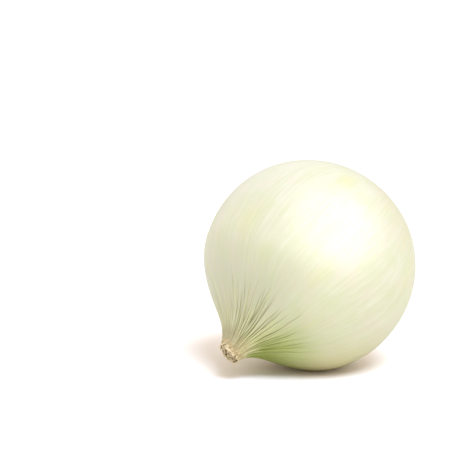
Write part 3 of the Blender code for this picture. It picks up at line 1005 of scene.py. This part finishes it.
class ONION_OT_dry_neck(bpy.types.Operator):
    """Model the dried leaf ends that close the neck, torn and papery"""

    bl_idname = "onion.dry_neck"
    bl_label = "Add dry neck"

    def execute(self, context):
        self.thickness = context.scene.onion_sizes.leaf_thickness
        self.veins = context.scene.onion_sizes.vein_count
        neck = self.make_core()
        leaves = [self.make_sheath(*sheath) for sheath in LEAF_SHEATHS]
        leaves += self.make_shreds()
        join(neck, leaves)
        lay_down(neck)
        hand_over(neck, dry_leaf_material(), "dry_neck")
        return {"FINISHED"}

    def make_core(self):
        """The plug in the socket, with the shrunken heart of the neck on top."""
        foot = FLESH_END - SOCKET_DEPTH + 0.3 * MM
        top = FLESH_END + 2.7 * MM
        radius = SOCKET_RADIUS - 0.3 * MM
        profile = [
            (radius, foot),
            (radius, FLESH_END - 0.5 * MM),
            (radius, top - 0.4 * MM),
            (0.8 * radius, top),
            (0.45 * radius, top - 0.3 * MM),
        ]
        core = turn_shape("onion_dry_neck", 40, profile)
        points = points_of(core)
        # Painted shade: the plug at the heart of the neck is darkened as a depth
        store(core, grain=grain_of(points), rim=0.0, inside=0.75, vein=0.0, height=1.0)
        set_points(core, grow(points))
        on_top = points[:, 2] > top - 0.6 * MM
        roughen(core, "Core wrinkles", on_top, wide=1.0 * MM, high=1.6 * MM, middle=0.5)
        return core

    def make_sheath(self, share, foot, rim, raggedness, crease, seed, columns):
        """One dried leaf: a tube that follows the neck's outline up to a torn rim."""
        draw = random.Random(seed)
        low, high = FLESH_END + foot, FLESH_END + rim
        heights = np.linspace(low, high, SHEATH_RINGS)
        profile = [(share * neck_radius(min(z, NECK_TIP)), z) for z in heights]
        sheath = turn_shape("leaf", columns, profile, closed=False)
        points = points_of(sheath)
        angle = np.arctan2(points[:, 1], points[:, 0])
        up = np.clip((points[:, 2] - low) / (high - low), 0, 1)
        top_line = ragged(angle, draw, 0.35 * raggedness, raggedness)
        top_line -= top_line.max() - 0.1 * raggedness
        top_line += LONG_SIDE_RISE * (share * np.cos(angle - LONG_SIDE) - 0.3)
        points[:, 2] += top_line * up**1.5
        creases = sum(
            size * np.cos(count * angle + draw.uniform(0, FULL_TURN) + 1.5 * up)
            for count, size in CREASES
        )
        grooves = vein_grooves(points, self.veins)
        radius = np.hypot(points[:, 0], points[:, 1])
        outermost = share == 1.0
        squeeze = crease * creases * up**1.3
        if outermost:
            squeeze -= FOOT_SQUEEZE * smooth_step(FLESH_END - 0.5 * MM, low, points[:, 2])
        grown = radius * (1 + squeeze) - VEIN_CREASE * grooves * (1 - 0.6 * up)
        if outermost:
            grown = np.minimum(grown, radius * MOST_SWELL)
        points[:, 0] *= grown / radius
        points[:, 1] *= grown / radius
        height = smooth_step(0.25, 0.7, up)
        store(sheath, grain=grain_of(points), vein=grooves, height=height, rim=torn_edge(up))
        set_points(sheath, points)
        select_only(sheath)
        set_mode("EDIT")
        end_shaping()
        apply_modifier(
            sheath, "SOLIDIFY", thickness=self.thickness, offset=-1.0, use_even_offset=False
        )
        thick = points_of(sheath)
        inner = np.zeros(len(thick))
        inner[len(points) : 2 * len(points)] = 1.0
        rims = np.concatenate((torn_edge(up),) * 2)
        # Painted shade: how far each vertex is darkened as a depth, most on inner walls, none on
        # the outermost leaf's outside, fading at the torn rim
        depth_shade_brown = 0.9 * inner if outermost else 0.45 + 0.45 * inner
        store(sheath, inside=depth_shade_brown * (1 - smooth_step(0.7, 1.0, rims)))
        set_points(sheath, grow(thick))
        return sheath

    def make_shreds(self):
        """Narrow torn strips that curl outwards from the rim: one is modelled, then copied."""
        strip = self.make_strip()
        draw = random.Random(SHRED_SEED)
        shreds = []
        for i in range(SHRED_COUNT):
            angle = FULL_TURN * (i + draw.uniform(-0.4, 0.4)) / SHRED_COUNT
            share = draw.choice(SHRED_RINGS)
            height = FLESH_END + draw.uniform(2.2, 3.2) * MM
            size = draw.uniform(0.6, 1.1)
            turn = Matrix.Rotation(angle + math.pi / 2 + draw.uniform(-0.6, 0.6), 4, "Z")
            if draw.random() < 0.35:
                turn = turn @ Matrix.Rotation(math.pi, 4, "Z")
            tilt = Matrix.Rotation(draw.uniform(-0.35, 0.35), 4, "X")
            place = on_ring(angle, share * neck_radius(height), height)
            scale = Matrix.Diagonal((size * draw.uniform(0.6, 1.3), size, size, 1))
            shred = copy_of(strip)
            shred.data.transform(place @ turn @ tilt @ scale)
            set_points(shred, grow(points_of(shred)))
            shreds.append(shred)
        bpy.data.objects.remove(strip, do_unlink=True)
        return shreds

    def make_strip(self):
        bpy.ops.object.select_all(action="DESELECT")
        bpy.ops.mesh.primitive_plane_add(size=1.0, location=(0, 0, 0))
        strip = bpy.context.object
        strip.name = strip.data.name = "shred"
        strip.data.transform(Matrix.Diagonal((SHRED_WIDTH, SHRED_FOOT, 1, 1)))
        strip.data.transform(Matrix.Rotation(math.pi / 2, 4, "X"))
        set_mode("EDIT")
        bpy.ops.mesh.select_all(action="DESELECT")
        set_mode("OBJECT")
        for vertex in strip.data.vertices:
            vertex.select = vertex.co.z > 0
        for edge in strip.data.edges:
            edge.select = all(strip.data.vertices[v].select for v in edge.vertices)
        set_mode("EDIT")
        height, out, lean = SHRED_FOOT / 2, 0.0, 0.0
        for _ in range(SHRED_STEPS):
            lean += SHRED_CURL
            rise, run = SHRED_STEP * math.cos(lean), SHRED_STEP * math.sin(lean)
            height += rise
            out += run
            bpy.ops.mesh.extrude_region_move(TRANSFORM_OT_translate={"value": (0, -run, rise)})
            bpy.ops.transform.resize(
                value=(SHRED_TAPER, 1, 1), center_override=(0, -out, height)
            )
        bpy.ops.mesh.select_all(action="DESELECT")
        set_mode("OBJECT")
        apply_modifier(strip, "SOLIDIFY", thickness=SHRED_THICKNESS, offset=0.0)
        subdivide(strip, 1)
        points = points_of(strip)
        rim = np.clip(points[:, 2] / (1.2 * MM), 0.3, 1)
        grain = np.zeros((len(points), 3))
        store(strip, rim=rim, inside=0.0, vein=0.0, height=1.0, grain=grain)
        return strip


# The root plate's edge, and the trimmed roots on it: how far out they stand at most, how much the
# outermost lean out, the plate's dome under them, and how deep their feet are set in it
PLATE_RADIUS = RECESS_RADIUS - 0.3 * MM
ROOT_SEED = 23
ROOT_SPREAD = 7.9 * MM
ROOT_SPLAY = math.radians(34)
PLATE_DOME = 1.5 * MM
ROOT_SEAT = 0.9 * MM
GOLDEN_ANGLE = math.pi * (3 - math.sqrt(5))

# A root's own form: its length before it is varied, and how far its end stands back in the middle
ROOT_LENGTH = 3.2 * MM
ROOT_END_RISE = 0.15 * MM


class ONION_OT_root_plate(bpy.types.Operator):
    """Model the corky root plate and the roots that were trimmed short"""

    bl_idname = "onion.root_plate"
    bl_label = "Add root plate"

    def execute(self, context):
        sizes = context.scene.onion_sizes
        plate = self.make_plate()
        join(plate, self.make_roots(sizes.root_count, sizes.root_radius))
        set_points(plate, grow(points_of(plate)))
        lay_down(plate)
        hand_over(plate, cork_material(), "root_plate")
        return {"FINISHED"}

    def make_plate(self):
        radius = PLATE_RADIUS
        base = ROOT_FLAT_HEIGHT
        seat = base + RECESS_DEPTH - 0.3 * MM
        profile = [
            (radius - 0.6 * MM, seat),
            (radius, seat - 0.3 * MM),
            (radius, base - 0.1 * MM),
            (0.94 * radius, base - 0.45 * MM),
            (0.78 * radius, base - 0.93 * MM),
            (0.50 * radius, base - 1.30 * MM),
            (0.25 * radius, base - 1.45 * MM),
        ]
        plate = turn_shape("onion_root_plate", 48, profile)
        on_face = points_of(plate)[:, 2] < base
        roughen(plate, "Cork lumps", on_face, wide=1.4 * MM, high=0.9 * MM, middle=0.6)
        store(plate, rim=0.0)
        return plate

    def make_roots(self, count, thick):
        """One trimmed root is modelled, then copied over the plate."""
        stub = self.make_stub(thick)
        draw = random.Random(ROOT_SEED)
        roots = []
        for i in range(count):
            share = math.sqrt((i + 3) / (count + 2))
            angle = i * GOLDEN_ANGLE + draw.uniform(-0.3, 0.3)
            out = ROOT_SPREAD * share
            splay = ROOT_SPLAY * share**2 + draw.uniform(-0.22, 0.22)
            size = draw.uniform(0.7, 1.15)
            length = draw.uniform(0.55, 1.1)
            dome = ROOT_FLAT_HEIGHT - PLATE_DOME * math.sqrt(1 - (out / PLATE_RADIUS) ** 2)
            place = on_ring(angle, out, dome + ROOT_SEAT)
            lean = Matrix.Rotation(angle, 4, "Z") @ Matrix.Rotation(-splay, 4, "Y")
            twist = Matrix.Rotation(draw.uniform(0, FULL_TURN), 4, "Z")
            root = copy_of(stub)
            root.data.transform(place @ lean @ twist @ Matrix.Diagonal((size, size, length, 1)))
            roots.append(root)
        bpy.data.objects.remove(stub, do_unlink=True)
        return roots

    def make_stub(self, thick):
        """A short six-sided root, slightly bent, with a cut end that dips in the middle."""
        stub = start_ring("root", 6, thick, 0)
        middle = [(0.9 * thick, -1.2 * MM), (1.02 * thick, -2.2 * MM)]
        draw_rings([(thick, 0), *middle, (0.85 * thick, -ROOT_LENGTH)])
        bpy.ops.mesh.extrude_region_move(TRANSFORM_OT_translate={"value": (0, 0, 0)})
        bpy.ops.transform.resize(value=(0.55, 0.55, 1), center_override=(0, 0, -ROOT_LENGTH))
        bpy.ops.transform.translate(value=(0, 0, ROOT_END_RISE))
        close_ring()
        end_shaping()
        points = points_of(stub)
        points[:, 0] += 0.35 * MM * np.sin(points[:, 2] / (1.0 * MM))
        set_points(stub, points)
        store(stub, rim=np.clip((-points[:, 2] - 2.9 * MM) / (0.2 * MM), 0, 0.8))
        return stub


class ONION_OT_stage(bpy.types.Operator):
    """Set up the white floor, the soft lights and the camera"""

    bl_idname = "onion.stage"
    bl_label = "Add stage"

    def execute(self, context):
        scene = context.scene
        toward, right, up = self.view_axes()
        middle = Vector((-LOW_POINT_OFFSET, 0, BULB_RADIUS - REST_FLAT_DEPTH))
        self.add_camera(scene, middle, toward, right, up)
        floor = self.add_floor()
        self.add_lights(scene, floor, right, up, toward)
        scene.view_settings.view_transform = "Standard"
        return {"FINISHED"}

    def view_axes(self):
        a, e = CAMERA_AZIMUTH, CAMERA_ELEVATION
        toward = Vector((math.sin(a) * math.cos(e), -math.cos(a) * math.cos(e), math.sin(e)))
        right = Vector((math.cos(a), math.sin(a), 0))
        return toward, right, toward.cross(right)

    def add_camera(self, scene, middle, toward, right, up):
        half = PICTURE_SIZE / 2
        aim = middle - (BULB_IN_PICTURE[0] - half) * PICTURE_SCALE * right
        aim += (BULB_IN_PICTURE[1] - half) * PICTURE_SCALE * up
        bpy.ops.object.camera_add(location=aim + CAMERA_DISTANCE * toward)
        camera = bpy.context.object
        camera.name = "Camera"
        camera.rotation_euler = toward.to_track_quat("Z", "Y").to_euler()
        camera.data.sensor_width = SENSOR_WIDTH
        camera.data.lens = CAMERA_DISTANCE / PICTURE_SCALE * SENSOR_WIDTH / PICTURE_SIZE
        camera.data.clip_start = 0.01
        camera.data.clip_end = 50
        scene.camera = camera

    def add_floor(self):
        bpy.ops.object.select_all(action="DESELECT")
        bpy.ops.mesh.primitive_plane_add(size=8.0, location=(0, 0, 0))
        floor = bpy.context.object
        floor.name = "floor"
        material, shader, nodes = new_material("White floor", Roughness=0.9)
        seen = nodes.add("ShaderNodeLightPath").outputs["Is Camera Ray"]
        colour = nodes.mix(seen, FLOOR_BOUNCE, FLOOR_SEEN)
        nodes.feed(shader.inputs["Base Color"], colour)
        floor.data.materials.append(material)
        return floor

    def add_lights(self, scene, floor, right, up, toward):
        for name, direction, angle, strength, colour, lights in SUNS:
            away = direction[0] * right + direction[1] * up + direction[2] * toward
            bpy.ops.object.light_add(type="SUN", location=away)
            sun = bpy.context.object
            sun.name = name
            sun.rotation_euler = away.to_track_quat("Z", "Y").to_euler()
            sun.data.angle = math.radians(angle)
            sun.data.energy = strength
            sun.data.color = colour
            sun.visible_diffuse = lights != "gloss"
            if lights == "floor":
                lit = bpy.data.collections.new("Floor alone")
                lit.objects.link(floor)
                sun.light_linking.receiver_collection = lit

        world = bpy.data.worlds.new("Studio")
        scene.world = world
        world.use_nodes = True
        tree = world.node_tree
        tree.nodes.clear()
        nodes = Nodes(tree)
        seen = nodes.add("ShaderNodeLightPath").outputs["Is Camera Ray"]
        colour = nodes.mix(seen, darker(ROOM_COLOUR, ROOM_LIGHT), BACKGROUND_SEEN)
        sky = nodes.add("ShaderNodeBackground", {"Color": colour, "Strength": 1.0})
        nodes.add("ShaderNodeOutputWorld", {"Surface": sky.outputs[0]})


class ONION_PT_panel(bpy.types.Panel):
    bl_label = "Peeled onion"
    bl_idname = "ONION_PT_panel"
    bl_space_type = "VIEW_3D"
    bl_region_type = "UI"
    bl_category = "Onion"

    def draw(self, context):
        layout = self.layout
        for settings in (context.scene.onion_sizes, context.scene.onion_colours):
            box = layout.box()
            for name in settings.__annotations__:
                box.prop(settings, name)
        for operator in OPERATORS:
            layout.operator(operator.bl_idname)


OPERATORS = (ONION_OT_bulb, ONION_OT_dry_neck, ONION_OT_root_plate, ONION_OT_stage)
CLASSES = (OnionSizes, OnionColours, *OPERATORS, ONION_PT_panel)


def register():
    for cls in CLASSES:
        bpy.utils.register_class(cls)
    bpy.types.Scene.onion_sizes = PointerProperty(type=OnionSizes)
    bpy.types.Scene.onion_colours = PointerProperty(type=OnionColours)


def unregister():
    del bpy.types.Scene.onion_colours
    del bpy.types.Scene.onion_sizes
    for cls in reversed(CLASSES):
        bpy.utils.unregister_class(cls)


def main():
    register()
    bpy.ops.onion.stage()
    bpy.ops.onion.bulb()
    bpy.ops.onion.dry_neck()
    bpy.ops.onion.root_plate()


if __name__ == "__main__":
    main()
